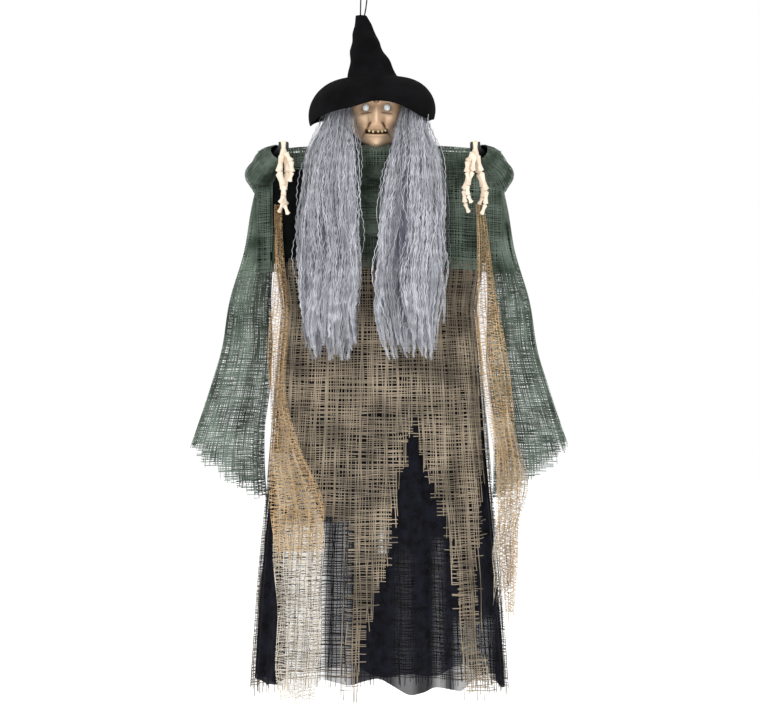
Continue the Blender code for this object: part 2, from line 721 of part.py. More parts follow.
def build_eyes():
    for side, label in ((-1, "left"), (1, "right")):
        x = HEAD_X + side * EYE_X
        add_turned(
            f"eye_{label}", "eye_lens",
            [(0.0, 0.0062), (0.0030, 0.0054), (0.0052, 0.0030), (0.0058, 0.0), (0.0058, -0.004),
             (0.0040, -0.004), (0.0040, 0.0), (0.0030, 0.0024), (0.0, 0.0040)],
            Vector((x, -0.0540, EYE_Z)), "Y", 16,
        ).matrix_local = Matrix.Translation((x, -0.0540, EYE_Z)) @ Matrix.Rotation(math.pi / 2, 4, "X")
        add_turned(
            f"led_{label}", "white_plastic",
            [(0.0, 0.0070), (0.0018, 0.0064), (0.0025, 0.0045), (0.0025, 0.0), (0.0, 0.0)],
            Vector((x, 0, 0)), "Y", 12,
        ).matrix_local = Matrix.Translation((x, -0.0430, EYE_Z)) @ Matrix.Rotation(math.pi / 2, 4, "X")
    left, right = HEAD_X - EYE_X, HEAD_X + EYE_X
    lead = [
        (left, -0.0425, EYE_Z), (left, -0.036, EYE_Z - 0.001), (left + 0.004, -0.030, EYE_Z - 0.008),
        (HEAD_X - 0.006, -0.024, EYE_Z - 0.018), (HEAD_X, -0.022, EYE_Z - 0.021),
        (HEAD_X + 0.006, -0.024, EYE_Z - 0.018), (right - 0.004, -0.030, EYE_Z - 0.008),
        (right, -0.036, EYE_Z - 0.001), (right, -0.0425, EYE_Z),
    ]
    add_wire("led_lead", "black_cord", lead, 0.0009)


def build_neck():
    """The tube on the drive box, the bearing plate in the head, and the washer that carries the body."""
    z = BOX_TOP + GAP
    add_turned(
        "neck_tube", "white_plastic",
        [(NECK_RADIUS, 0.0315), (NECK_RADIUS, 0.0025), (0.0180, 0.0025), (0.0180, 0.0),
         (0.0085, 0.0), (0.0085, 0.0315)],
        Vector((HEAD_X, 0, z)),
    )
    add_ring("neck_bearing", "white_plastic", BEARING_RADIUS, NECK_RADIUS + GAP, (HEAD_X, 0, BEARING_Z),
             BEARING_HEIGHT, "Z")
    washer_z = BEARING_Z + BEARING_HEIGHT + GAP
    add_ring("neck_washer", "steel", 0.0170, NECK_RADIUS + GAP, (HEAD_X, 0, washer_z), 0.0020, "Z")


def build_hat():
    """A leaning cone with an open tip for the cord, and a domed brim that droops at both sides."""
    rows = []
    for share, radius in ((1.0, 0.0100), (0.75, 0.0185), (0.45, 0.0275), (0.2, 0.0355), (0.0, 0.042)):
        rows.append(ellipse(HAT_FOOT.lerp(HAT_TIP, share), radius, radius, 20))
    add_sheet("hat_crown", "black_felt", rows, True)
    rows = [
        [brim_point(2 * math.pi * i / BRIM_COLUMNS, k) for i in range(BRIM_COLUMNS)]
        for k in range(BRIM_STEPS + 1)
    ]
    add_sheet("hat_brim", "black_felt", rows, True, offset=-1.0)


def brim_point(turn, steps):
    """The point that some steps outwards reach, bending steadily down at the sides and straight in front."""
    sideways = abs(math.cos(turn)) ** 1.5
    step = (BRIM_FRONT + (BRIM_SIDE - BRIM_FRONT) * sideways) / BRIM_STEPS
    radius, height = BRIM_START, 0.0
    for n in range(steps):
        share = ((n + 0.5) / BRIM_STEPS) ** 1.2
        slope = math.radians((4 + 104 * share) * sideways + 42 * (1 - sideways))
        radius += step * math.cos(slope)
        height -= step * math.sin(slope)
    tilt = (0.06 * math.sin(turn) + 0.03 * math.cos(turn)) * radius
    return HAT_FOOT + Vector((radius * math.cos(turn), radius * math.sin(turn), height + tilt))


def build_hair():
    """Two front locks over the chest and one fall of hair behind."""
    heights = (0.108, 0.070, 0.020, -0.040, -0.120, -0.220, -0.316)
    depths = (-0.022, -0.046, -0.084, -0.102, -0.108, -0.108, -0.108)
    half_depths = (0.020, 0.020, 0.017, 0.016, 0.016, 0.015, 0.010)
    locks = {  # centre x and half width at each height
        "left": [(-0.066, 0.012), (-0.072, 0.018), (-0.080, 0.036), (-0.084, 0.044), (-0.085, 0.046),
                 (-0.084, 0.047), (-0.083, 0.046)],
        "right": [(0.057, 0.012), (0.054, 0.017), (0.060, 0.034), (0.058, 0.043), (0.055, 0.050),
                  (0.050, 0.056), (0.060, 0.046)],
    }
    for label, spans in locks.items():
        rings = [
            ellipse((x, y, z), half, half_y, 12)
            for (x, half), y, z, half_y in zip(spans, depths, heights, half_depths)
        ]
        add_loft(f"hair_{label}", "grey_hair", rings)
    fall = [
        (0.072, 0.108, 0.040, 0.012), (0.090, 0.070, 0.050, 0.012), (0.098, 0.020, 0.060, 0.012),
        (0.101, -0.050, 0.072, 0.013), (0.102, -0.180, 0.078, 0.013), (0.102, -0.310, 0.070, 0.010),
    ]
    rings = [ellipse((HEAD_X, y, z), hx, hy, 16) for y, z, hx, hy in fall]
    add_loft("hair_back", "grey_hair", rings)


def build_loop():
    """The hanging cord: up both sides from a toggle in the head, out of the hat's tip, closed at the top."""
    toggle_z = 0.1540
    add_cylinder("loop_toggle", "white_plastic", 0.0040, (HEAD_X - 0.011, LOOP_Y, toggle_z),
                 (HEAD_X + 0.011, LOOP_Y, toggle_z), "X", 12)
    rise = [
        Vector((HEAD_X, LOOP_Y, toggle_z + 0.0044)), Vector((-0.0058, LOOP_Y, 0.170)),
        Vector((-0.0190, 0.002, 0.205)), Vector((-0.0298, -0.001, 0.250)), Vector((-0.0275, 0.0, 0.272)),
    ]
    spread = [0.0030, 0.0028, 0.0026, 0.0026, 0.0045]
    top = HANG_POINT - Vector((0, 0, LOOP_RADIUS + LOOP_BEND))
    left = [p - Vector((s, 0, 0)) for p, s in zip(rise, spread)]
    right = [p + Vector((s, 0, 0)) for p, s in zip(rise, spread)]
    arc = [
        top + Vector((-LOOP_BEND * math.cos(a), 0, LOOP_BEND * math.sin(a)))
        for a in (math.pi * i / 8 for i in range(9))
    ]
    add_wire("hanging_loop", "black_cord", left + arc + right[::-1], LOOP_RADIUS)


# ---------------------------------------------------------------- clothes

ROBE_PROFILE = [  # height, half width, half depth
    (-0.055, 0.088, 0.043),
    (-0.082, 0.102, 0.047),
    (-0.115, 0.143, 0.050),
    (-0.250, 0.160, 0.056),
    (-0.500, 0.180, 0.064),
    (-0.700, 0.198, 0.070),
    (-0.880, 0.212, 0.076),
]


def build_poncho():
    """The burlap over the shoulders: a front and a back panel joined across the top, open at the sides."""
    path = [  # y, z from the front hem over the shoulder to the back hem, at the middle of the chest
        (-0.066, -0.168), (-0.064, -0.060), (-0.052, -0.020), (-0.036, 0.022), (-0.030, 0.034),
        (0.030, 0.034), (0.038, 0.024), (0.052, -0.010), (0.060, -0.060), (0.062, -0.168),
    ]
    rows = []
    half = 0.094
    for i in range(13):
        x = half * (i / 6 - 1)
        round_off = math.sqrt(1 - (x / 0.200) ** 2)
        drop = 0.006 * (x / half) ** 2
        rows.append([Vector((x, y * round_off, z - (drop if z > -0.05 else 0))) for y, z in path])
    poncho = add_sheet("poncho", "green_burlap", rows, False, offset=0.0)
    neck = add_cylinder("poncho_neck", None, 0.0270, (HEAD_X, 0, 0.01), (HEAD_X, 0, 0.06), "Z", 24, True)
    cut(poncho, neck)


def build_robe():
    """The black under robe and the gauze overskirt, both open at the hem."""
    rows = [ellipse((0, 0, z), hx, hy, 32) for z, hx, hy in ROBE_PROFILE]
    add_sheet("robe", "black_cloth", rows, True)
    rows = [ellipse((0, 0, z), hx + 0.0055, hy + 0.0055, 32) for z, hx, hy in ROBE_PROFILE[2:]]
    add_sheet("gauze_skirt", "tan_gauze", rows, True)


def build_wings():
    """The hanging ends of the bell sleeves, and the gauze streamer in front of each."""
    rings = [  # height, inner x, outer x, half depth
        (-0.056, 0.171, 0.242, 0.038),
        (-0.150, 0.174, 0.248, 0.046),
        (-0.270, 0.184, 0.262, 0.055),
        (-0.400, 0.196, 0.298, 0.066),
        (-0.476, 0.202, 0.318, 0.072),
        (-0.560, 0.206, 0.262, 0.050),
    ]
    for side, label in ((-1, "left"), (1, "right")):
        rows = [
            ellipse((side * (inner + outer) / 2, 0, z), (outer - inner) / 2, depth, 10)
            for z, inner, outer, depth in rings
        ]
        add_sheet(f"sleeve_wing_{label}", "green_burlap", rows, True)
        strip = [  # height, inner x, outer x
            (-0.128, 0.158, 0.176), (-0.250, 0.158, 0.182), (-0.350, 0.150, 0.182),
            (-0.500, 0.142, 0.184), (-0.700, 0.128, 0.188), (-0.885, 0.140, 0.190),
        ]
        rows = [
            ellipse((side * (inner + outer) / 2, -0.094, z), (outer - inner) / 2, 0.006, 10)
            for z, inner, outer in strip
        ]
        add_loft(f"streamer_{label}", "tan_gauze", rows)


def main():
    build_loop()
    build_hat()
    build_hair()
    build_face()
    build_skull()
    build_eyes()
    build_neck()
    build_box_front()
    build_box_back()
    build_battery_compartment()
    build_electrics()
    build_drive()
    build_arm(-1, "left")
    build_arm(1, "right")
    build_poncho()
    build_robe()
    build_wings()


main()
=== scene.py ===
"""The looks of the hanging witch figure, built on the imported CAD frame.

Cloth is woven thread by thread over smooth draped surfaces, and hair is laid strand by strand.
Shapes are worked out in body coordinates, with the arm shaft at the origin, and moved to the frame
by to_frame(). Metres, +Z up, and the figure faces -Y.
"""

import json
import math

import bpy
import numpy as np
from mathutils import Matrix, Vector


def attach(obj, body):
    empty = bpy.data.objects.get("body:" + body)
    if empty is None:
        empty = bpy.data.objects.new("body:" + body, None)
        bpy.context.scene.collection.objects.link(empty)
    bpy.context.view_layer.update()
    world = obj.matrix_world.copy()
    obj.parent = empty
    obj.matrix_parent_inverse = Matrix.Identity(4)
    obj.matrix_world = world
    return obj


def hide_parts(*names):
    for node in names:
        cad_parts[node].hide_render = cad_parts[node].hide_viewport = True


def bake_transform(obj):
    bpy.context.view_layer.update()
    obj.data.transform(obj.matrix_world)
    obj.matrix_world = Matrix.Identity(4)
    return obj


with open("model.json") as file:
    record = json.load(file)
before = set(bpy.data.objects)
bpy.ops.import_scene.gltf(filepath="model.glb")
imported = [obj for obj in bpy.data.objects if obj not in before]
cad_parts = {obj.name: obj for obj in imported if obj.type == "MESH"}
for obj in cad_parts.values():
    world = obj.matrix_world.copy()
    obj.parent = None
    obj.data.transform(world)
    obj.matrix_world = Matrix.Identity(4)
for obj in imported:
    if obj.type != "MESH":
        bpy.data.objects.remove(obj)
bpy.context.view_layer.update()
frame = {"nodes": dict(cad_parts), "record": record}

# Places shared with the CAD
BODY_ORIGIN = np.array((0.026, 0.0, -0.300))
HEAD_X = -0.005
HEAD_CENTRE = np.array((HEAD_X, -0.005, 0.100))
HEAD_HALF = np.array((0.047, 0.058, 0.066))
WRIST = np.array((0.157, -0.111, 0.026))

# Camera
CAMERA_PLACE = (0.027, -3.05, -0.619)
CAMERA_LENS = 85
FLOOR_Z = -1.45

# Cloth: distance between threads and breadth of a thread
GAUZE = (0.0029, 0.00135)
BURLAP = (0.0024, 0.00125)
STREAMER = (0.0026, 0.0010)
VEIL = (0.0023, 0.00095)
THREAD_STEP = 0.0075
THREAD_LIFT = 0.0003

# Hat
BRIM_FRONT = 0.066
BRIM_SIDE = 0.115

# Hair
CLUMPS_PER_LOCK = 95
STRANDS_PER_CLUMP = 17
STRAND_WIDTH = 0.0010
CRIMP_LENGTH = 0.013
CRIMP_DEPTH = 0.0011
CORE_COLUMNS = 36

LOCK_HEIGHTS = (0.112, 0.070, 0.020, -0.040, -0.120, -0.220, -0.328)
LOCK_DEPTHS = (-0.022, -0.046, -0.084, -0.102, -0.108, -0.108, -0.108)
LOCK_HALF_DEPTHS = (0.020, 0.020, 0.017, 0.016, 0.016, 0.015, 0.012)
LOCKS = {  # centre x and half width at each height
    "left": ((-0.066, -0.072, -0.080, -0.084, -0.085, -0.084, -0.083),
             (0.012, 0.018, 0.036, 0.044, 0.046, 0.047, 0.046)),
    "right": ((0.057, 0.054, 0.060, 0.058, 0.055, 0.050, 0.060),
              (0.012, 0.017, 0.034, 0.043, 0.050, 0.056, 0.046)),
}
ROBE_HEIGHTS = (0.000, -0.055, -0.082, -0.115, -0.250, -0.500, -0.700, -0.880)
ROBE_HALF_WIDTHS = (0.074, 0.088, 0.102, 0.143, 0.160, 0.180, 0.198, 0.210)
ROBE_HALF_DEPTHS = (0.037, 0.043, 0.047, 0.050, 0.056, 0.064, 0.070, 0.075)


def to_frame(points):
    return np.asarray(points) + BODY_ORIGIN


def along(value, places, amounts):
    """Smoothly interpolates amounts at places, which may run downwards."""
    order = np.argsort(places)
    places, amounts = np.asarray(places, float)[order], np.asarray(amounts, float)[order]
    slopes = np.gradient(amounts, places)
    value = np.clip(value, places[0], places[-1])
    i = np.clip(np.searchsorted(places, value) - 1, 0, len(places) - 2)
    gap = places[i + 1] - places[i]
    t = (value - places[i]) / gap
    start = (1 + 2 * t) * (1 - t) ** 2 * amounts[i] + t * (1 - t) ** 2 * gap * slopes[i]
    return start + t ** 2 * (3 - 2 * t) * amounts[i + 1] - t ** 2 * (1 - t) * gap * slopes[i + 1]


def linear(red, green, blue):
    """An 8-bit display colour as linear light."""
    channels = []
    for value in (red, green, blue):
        share = value / 255
        channels.append(share / 12.92 if share <= 0.04045 else ((share + 0.055) / 1.055) ** 2.4)
    return (*channels, 1.0)


# ---------------------------------------------------------------- materials


def procedural(name, dark, light, scale, roughness, bump=0.3, bump_scale=900, stretch=(1, 1, 1),
               metallic=0.0, specular=0.35):
    """A material whose colour drifts between dark and light, with a fine bump."""
    material = bpy.data.materials.new(name)
    material.use_nodes = True
    nodes, links = material.node_tree.nodes, material.node_tree.links
    shader = nodes["Principled BSDF"]
    shader.inputs["Roughness"].default_value = roughness
    shader.inputs["Metallic"].default_value = metallic
    shader.inputs["Specular IOR Level"].default_value = specular
    place = nodes.new("ShaderNodeTexCoord")
    mapping = nodes.new("ShaderNodeMapping")
    mapping.inputs["Scale"].default_value = stretch
    links.new(place.outputs["Object"], mapping.inputs["Vector"])
    noise = nodes.new("ShaderNodeTexNoise")
    noise.inputs["Scale"].default_value = scale
    noise.inputs["Detail"].default_value = 5.0
    links.new(mapping.outputs["Vector"], noise.inputs["Vector"])
    ramp = nodes.new("ShaderNodeValToRGB")
    ramp.color_ramp.elements[0].position = 0.35
    ramp.color_ramp.elements[0].color = dark
    ramp.color_ramp.elements[1].position = 0.65
    ramp.color_ramp.elements[1].color = light
    links.new(noise.outputs["Fac"], ramp.inputs["Fac"])
    links.new(ramp.outputs["Color"], shader.inputs["Base Color"])
    grain = nodes.new("ShaderNodeTexNoise")
    grain.inputs["Scale"].default_value = bump_scale
    links.new(mapping.outputs["Vector"], grain.inputs["Vector"])
    relief = nodes.new("ShaderNodeBump")
    relief.inputs["Strength"].default_value = bump
    relief.inputs["Distance"].default_value = 0.001
    links.new(grain.outputs["Fac"], relief.inputs["Height"])
    links.new(relief.outputs["Normal"], shader.inputs["Normal"])
    return material


def skin_material():
    """Peach vinyl, with brown painted shade in the recesses, which a vertex attribute marks."""
    material = procedural("skin_and_painted_shade", linear(222, 182, 146), linear(236, 206, 174), 40, 0.5, 0.25, 500)
    nodes, links = material.node_tree.nodes, material.node_tree.links
    painted_shade = nodes.new("ShaderNodeAttribute")
    painted_shade.attribute_name = "painted_shade"
    mix = nodes.new("ShaderNodeMix")
    mix.data_type = "RGBA"
    ramp = next(node for node in nodes if node.bl_idname == "ShaderNodeValToRGB")
    links.new(painted_shade.outputs["Fac"], mix.inputs["Factor"])
    links.new(ramp.outputs["Color"], mix.inputs["A"])
    # Painted shade: the brown that darkens the sockets, mouth, folds and creases
    mix.inputs["B"].default_value = linear(70, 38, 22)
    links.new(mix.outputs["Result"], nodes["Principled BSDF"].inputs["Base Color"])
    return material


def sheer_material():
    """Thin black cloth, which lets light through where the cover attribute is low."""
    material = procedural(
        "black_sheer", linear(9, 9, 12), linear(22, 23, 32), 60, 0.8, 0.4, 1500, specular=0.08,
    )
    nodes, links = material.node_tree.nodes, material.node_tree.links
    cover = nodes.new("ShaderNodeAttribute")
    cover.attribute_name = "cover"
    links.new(cover.outputs["Fac"], nodes["Principled BSDF"].inputs["Alpha"])
    return material


def eye_material():
    material = procedural("lit_eye", linear(214, 222, 226), linear(244, 248, 248), 120, 0.15, 0.05)
    shader = material.node_tree.nodes["Principled BSDF"]
    shader.inputs["Emission Color"].default_value = linear(225, 238, 244)
    shader.inputs["Emission Strength"].default_value = 0.1
    return material


def hair_material():
    """Silver hair whose strands differ: the shade attribute runs from shadow grey to near white."""
    material = procedural(
        "hair_fibre", linear(168, 170, 178), linear(216, 218, 225), 70, 0.5, 0.1, specular=0.3,
    )
    nodes, links = material.node_tree.nodes, material.node_tree.links
    shade = nodes.new("ShaderNodeAttribute")
    shade.attribute_name = "shade"
    mix = nodes.new("ShaderNodeMix")
    mix.data_type = "RGBA"
    ramp = next(node for node in nodes if node.bl_idname == "ShaderNodeValToRGB")
    links.new(shade.outputs["Fac"], mix.inputs["Factor"])
    mix.inputs["A"].default_value = linear(96, 97, 104)
    links.new(ramp.outputs["Color"], mix.inputs["B"])
    links.new(mix.outputs["Result"], nodes["Principled BSDF"].inputs["Base Color"])
    return material


def yarn_material(name, dark, light, scale):
    """Dull spun thread."""
    return procedural(name, dark, light, scale, 0.95, 0.3, 2500, specular=0.1)


FELT_CLOTH = procedural("hat_felt", linear(9, 9, 10), linear(17, 17, 19), 30, 0.95, 0.6, 1400, specular=0.06)
HAIR_FIBRE = hair_material()
# Painted shade: the dark core that stands for the shade deep inside each fall of hair
HAIR_SHADE_CORE = procedural("hair_shadow", linear(70, 71, 80), linear(112, 114, 124), 50, 0.9, 0.8, 300,
                       stretch=(5, 5, 0.3), specular=0.1)
BURLAP_YARN = yarn_material("burlap_thread", linear(60, 71, 61), linear(114, 128, 116), 22)
GAUZE_YARN = yarn_material("gauze_thread", linear(108, 99, 86), linear(166, 152, 132), 18)
STREAMER_YARN = yarn_material("streamer_thread", linear(176, 144, 102), linear(210, 182, 142), 20)
VEIL_YARN = yarn_material("veil_thread", linear(192, 182, 166), linear(224, 216, 202), 20)
BONE = procedural("bone_vinyl", linear(222, 200, 176), linear(240, 226, 208), 60, 0.45, 0.3, 400)
SKIN = skin_material()
SHEER = sheer_material()
LINING = procedural("black_lining", linear(8, 9, 9), linear(17, 19, 18), 40, 0.9, 0.5, 900, specular=0.06)
TOOTH = procedural("tooth", linear(210, 190, 140), linear(236, 222, 184), 200, 0.3, 0.1)

SLOT_MATERIALS = {
    "black_plastic": procedural("moulded_black", linear(24, 24, 25), linear(38, 38, 40), 80, 0.5, 0.25, 1200),
    "white_plastic": procedural("moulded_white", linear(208, 206, 198), linear(226, 224, 218), 80, 0.4,
                                0.1, 1200),
    "steel": procedural("drawn_steel", linear(150, 152, 155), linear(190, 192, 195), 90, 0.3, 0.1, 600,
                        stretch=(1, 1, 12), metallic=1.0),
    "brass": procedural("plain_brass", linear(176, 140, 76), linear(206, 172, 104), 90, 0.35, 0.1, 600,
                        metallic=1.0),
    "circuit_green": procedural("circuit_lacquer", linear(18, 84, 48), linear(30, 110, 64), 200, 0.4,
                                0.2, 500),
    "cell_sleeve": procedural("cell_wrap", linear(40, 62, 110), linear(54, 80, 134), 60, 0.3, 0.05, 600),
    "eye_lens": eye_material(),
    "black_cord": procedural("braided_cord", linear(16, 16, 17), linear(44, 44, 46), 900, 0.85, 0.8, 1600),
    "bone": BONE,
}


def dress_cad_nodes():
    """Gives every CAD node that stays in view the material of its record slot."""
    for row in frame["record"]["subparts"]:
        material = SLOT_MATERIALS.get(row["material_slot"])
        if material:
            mesh = frame["nodes"][row["node"]].data
            mesh.materials.clear()
            mesh.materials.append(material)


# ---------------------------------------------------------------- building pieces


def new_piece(name, points, faces, material, smooth=True):
    """A mesh from points in body coordinates and a list or array of faces."""
    mesh = bpy.data.meshes.new(name)
    mesh.from_pydata(to_frame(points).tolist(), [], np.asarray(faces).tolist())
    mesh.materials.append(material)
    if smooth:
        mesh.shade_smooth()
    obj = bpy.data.objects.new(name, mesh)
    bpy.context.scene.collection.objects.link(obj)
    return obj


def mark(obj, name, values):
    """Stores one number per vertex for a material to read."""
    obj.data.attributes.new(name, "FLOAT", "POINT").data.foreach_set("value", np.ravel(values))


def grid_faces(rows, columns, cyclic):
    """Quads over a grid of points stored row by row."""
    across = np.arange(columns if cyclic else columns - 1)
    down = np.arange(rows - 1)[:, None]
    near, far = across, (across + 1) % columns
    corners = (down * columns + near, (down + 1) * columns + near, (down + 1) * columns + far,
               down * columns + far)
    return np.stack([np.broadcast_to(c, (rows - 1, len(across))).ravel() for c in corners], axis=1)


def smooth_noise(t, rng, waves=3, fastest=6.0):
    """A gentle random wobble between -1 and 1 along t."""
    total = np.zeros_like(t)
    for _ in range(waves):
        total += np.sin(2 * np.pi * (rng.uniform(0.4, fastest) * t + rng.random()))
    return total / waves


def tubes(chains, radius, sides=3):
    """Points and faces of open tubes along chains of points."""
    turns = 2 * np.pi * np.arange(sides) / sides
    all_points, all_faces, used = [], [], 0
    for chain in chains:
        heading = np.gradient(chain, axis=0)
        heading /= np.linalg.norm(heading, axis=1)[:, None] + 1e-12
        first = np.cross(heading, (0.31, 0.86, 0.41))
        first /= np.linalg.norm(first, axis=1)[:, None]
        second = np.cross(heading, first)
        ring = np.cos(turns)[None, :, None] * first[:, None] + np.sin(turns)[None, :, None] * second[:, None]
        size = np.asarray(radius)
        all_points.append((chain[:, None] + ring * size.reshape(-1, 1, 1)).reshape(-1, 3))
        all_faces.append(grid_faces(len(chain), sides, True) + used)
        used += len(chain) * sides
    return np.concatenate(all_points), np.concatenate(all_faces)


def runs(kept, shortest=3):
    """Start and end of each unbroken stretch of kept samples."""
    found, start = [], None
    for i, keep in enumerate([*kept, False]):
        if keep and start is None:
            start = i
        if not keep and start is not None:
            if i - start >= shortest:
                found.append((start, i))
            start = None
    return found


def unit(vectors):
    return vectors / (np.linalg.norm(vectors, axis=-1)[..., None] + 1e-12)


def weave(surface, size, pitch, rng, keep=None, loose=0.5, breaks=0.006, fray=0.012, bunches=0):
    """Threads both ways over surface(u, v), with broken and frayed ends, as lines with their flat side."""
    width, length = size
    threads = []
    for run, other, sideways in ((width, length, True), (length, width, False)):
        count = max(2, round(other / pitch))
        samples = max(8, round(run / THREAD_STEP))
        for i in range(count + 1):
            loose_end = 0 if sideways else fray / run * rng.random()
            t = np.linspace(0, 1 + loose_end, samples)
            place = (i + rng.uniform(-0.25, 0.25)) / count
            if bunches and not sideways:
                place += 0.75 * math.sin(2 * math.pi * bunches * place) / (2 * math.pi * bunches)
            place = np.clip(place + loose * pitch / other * smooth_noise(t, rng), 0, 1)
            probe = 0.01 if place.mean() < 0.5 else -0.01
            if sideways:
                line, beside = surface(t, place), surface(t, place + probe)
            else:
                line, beside = surface(place, t), surface(place + probe, t)
            flat = unit((beside - line) * np.sign(probe))
            outward = unit(np.cross(unit(np.gradient(line, axis=0)), flat))
            twist = 0.7 * smooth_noise(t, rng)[:, None]
            line = line + THREAD_LIFT * outward
            flat = flat * np.cos(twist) + outward * np.sin(twist)
            kept = rng.random(samples) > breaks
            if keep:
                kept &= keep(line, rng)
            threads += [(line[a:b], flat[a:b]) for a, b in runs(kept)]
    return threads


def woven_piece(name, surface, size, yarn, material, slot, seed, **options):
    """Loosely woven cloth; yarn is the distance between threads and a thread's breadth."""
    pitch, breadth = yarn
    threads = weave(surface, size, pitch, np.random.default_rng(seed), **options)
    points, faces, used = [], [], 0
    for line, flat in threads:
        points.append(np.stack([line - flat * breadth / 2, line + flat * breadth / 2], axis=1).reshape(-1, 3))
        faces.append(grid_faces(len(line), 2, False) + used)
        used += 2 * len(line)
    return new_piece(name, np.concatenate(points), np.concatenate(faces), material)


def sheet_points(surface, rows, columns, cyclic):
    """Points of surface(u, v) stored row by row."""
    down, across = np.linspace(0, 1, rows), np.linspace(0, 1, columns, endpoint=not cyclic)
    v, u = np.meshgrid(down, across, indexing="ij")
    return surface(u.ravel(), v.ravel())


def plain_sheet(name, surface, rows, columns, material, cyclic):
    """An unbroken cloth surface over surface(u, v)."""
    points = sheet_points(surface, rows, columns, cyclic)
    return new_piece(name, points, grid_faces(rows, columns, cyclic), material)


# ---------------------------------------------------------------- head


def bump(x, z, x0, z0, wide, tall):
    return np.exp(-(((x - x0) / wide) ** 2) - ((z - z0) / tall) ** 2)


def ridge(x, z, start, end, wide):
    """Closeness to a line between two points on one side of the face, mirrored to the other."""
    x = np.abs(x)
    run = np.array(end) - np.array(start)
    share = np.clip(((x - start[0]) * run[0] + (z - start[1]) * run[1]) / (run @ run), 0, 1)
    gap = np.hypot(x - start[0] - share * run[0], z - start[1] - share * run[1])
    return np.exp(-((gap / wide) ** 2))


def build_head():
    """A generic old witch's mask: heavy brow, deep eyes, long nose, thin grin and pointed chin."""
    rows, columns = 210, 260
    down, round_head = np.meshgrid(np.linspace(0.001, np.pi - 0.001, rows),
                                   np.linspace(0, 2 * np.pi, columns, endpoint=False), indexing="ij")
    level = np.sin(down)
    out = np.stack([level * np.sin(round_head), -level * np.cos(round_head), np.cos(down)], axis=-1)
    out = out.reshape(-1, 3)
    points = out * HEAD_HALF
    front = np.clip(-out[:, 1] * 1.6, 0, 1) ** 1.5
    low = np.clip((-out[:, 2] - 0.25) / 0.75, 0, 1)
    narrow = np.exp(-((points[:, 0] / 0.026) ** 2))
    points[:, 2] -= 0.018 * low * front * narrow
    points[:, 0] *= 1 - 0.22 * low * front
    x, z = points[:, 0], points[:, 2] + HEAD_CENTRE[2]
    smile = 0.0545 + 7.0 * x ** 2
    in_mouth = np.exp(-(((z - smile) / 0.0030) ** 4)) * (np.abs(x) < 0.0185)
    nose_height = np.interp(z, (0.058, 0.063, 0.070, 0.085, 0.102, 0.112), (0, 0.015, 0.020, 0.014, 0.005, 0))
    sockets = bump(np.abs(x), z, 0.0175, 0.096, 0.0095, 0.0075)
    folds = ridge(x, z, (0.010, 0.070), (0.023, 0.050), 0.0022)
    frown = ridge(x, z, (0.0035, 0.104), (0.0045, 0.116), 0.0014)
    bags = ridge(x, z, (0.009, 0.087), (0.025, 0.086), 0.0016)
    hollows = bump(np.abs(x), z, 0.031, 0.058, 0.007, 0.014)
    creases = np.clip(np.sin((z - 0.4 * np.abs(x)) * 2 * np.pi / 0.0065), 0, 1) ** 3 * (z > 0.116)
    rise = nose_height * np.exp(-((x / (0.0062 + 0.06 * np.clip(0.085 - z, 0, 0.02))) ** 2))
    rise += 0.006 * bump(np.abs(x), z, 0.0085, 0.0655, 0.0042, 0.0040)
    rise += 0.0075 * ridge(x, z, (0.007, 0.1055), (0.031, 0.1145), 0.0052)
    rise += 0.0065 * bump(np.abs(x), z, 0.027, 0.077, 0.010, 0.008)
    rise += 0.0030 * np.exp(-(((np.abs(z - smile) - 0.0048) / 0.0022) ** 2)) * (np.abs(x) < 0.021)
    rise += 0.0100 * bump(x, z, 0.0, 0.031, 0.012, 0.010)
    rise -= 0.0095 * sockets + 0.0070 * in_mouth + 0.0030 * folds + 0.0022 * frown
    rise -= 0.0018 * bags + 0.0050 * hollows + 0.0010 * creases
    points[:, 1] -= rise * front
    cap = np.clip((out[:, 1] + 0.1) * 3, 0, 1)
    # Painted shade: brown in the eye sockets, mouth, folds, frown lines, under-eye bags, cheek hollows,
    # forehead creases and beside the nose; the back of the head gets a little of the same brown
    painted_shade = 0.95 * sockets + 1.0 * in_mouth + 0.75 * folds + 0.8 * frown + 0.6 * bags + 0.55 * hollows
    painted_shade += 0.35 * creases + 0.5 * bump(np.abs(x), z, 0.013, 0.074, 0.003, 0.010)
    head = new_piece("head", points + HEAD_CENTRE, grid_faces(rows, columns, True), SKIN)
    mark(head, "painted_shade", np.clip(painted_shade * front + 0.3 * cap, 0, 1))
    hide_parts("mask_face", "skull_back")
    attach(head, "head")


TEETH = (  # place across the mouth and length of each
    (-0.012, 0.0036), (-0.0055, 0.0044), (0.0030, 0.0034), (0.0095, 0.0042), (0.0150, 0.0030),
)


def build_teeth():
    """A few uneven teeth standing in the grin."""
    chains = []
    for x, drop in TEETH:
        top = 0.0575 + 7.0 * x ** 2
        y = -0.0515 + 9.0 * x ** 2
        chains.append(np.linspace((HEAD_X + x, y, top), (HEAD_X + x, y - 0.0006, top - drop), 5))
    taper = np.interp(np.linspace(0, 1, 5), (0, 0.6, 1), (0.0020, 0.0019, 0.0004))
    points, faces = tubes(chains, taper, 8)
    teeth = new_piece("teeth", points, faces, TOOTH)
    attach(teeth, "head")


def level_ring(centre, radius, turn, height):
    """Points round a centre at the given turns, radii and heights."""
    return np.stack([centre[0] + radius * np.cos(turn), centre[1] + radius * np.sin(turn), height], axis=1)


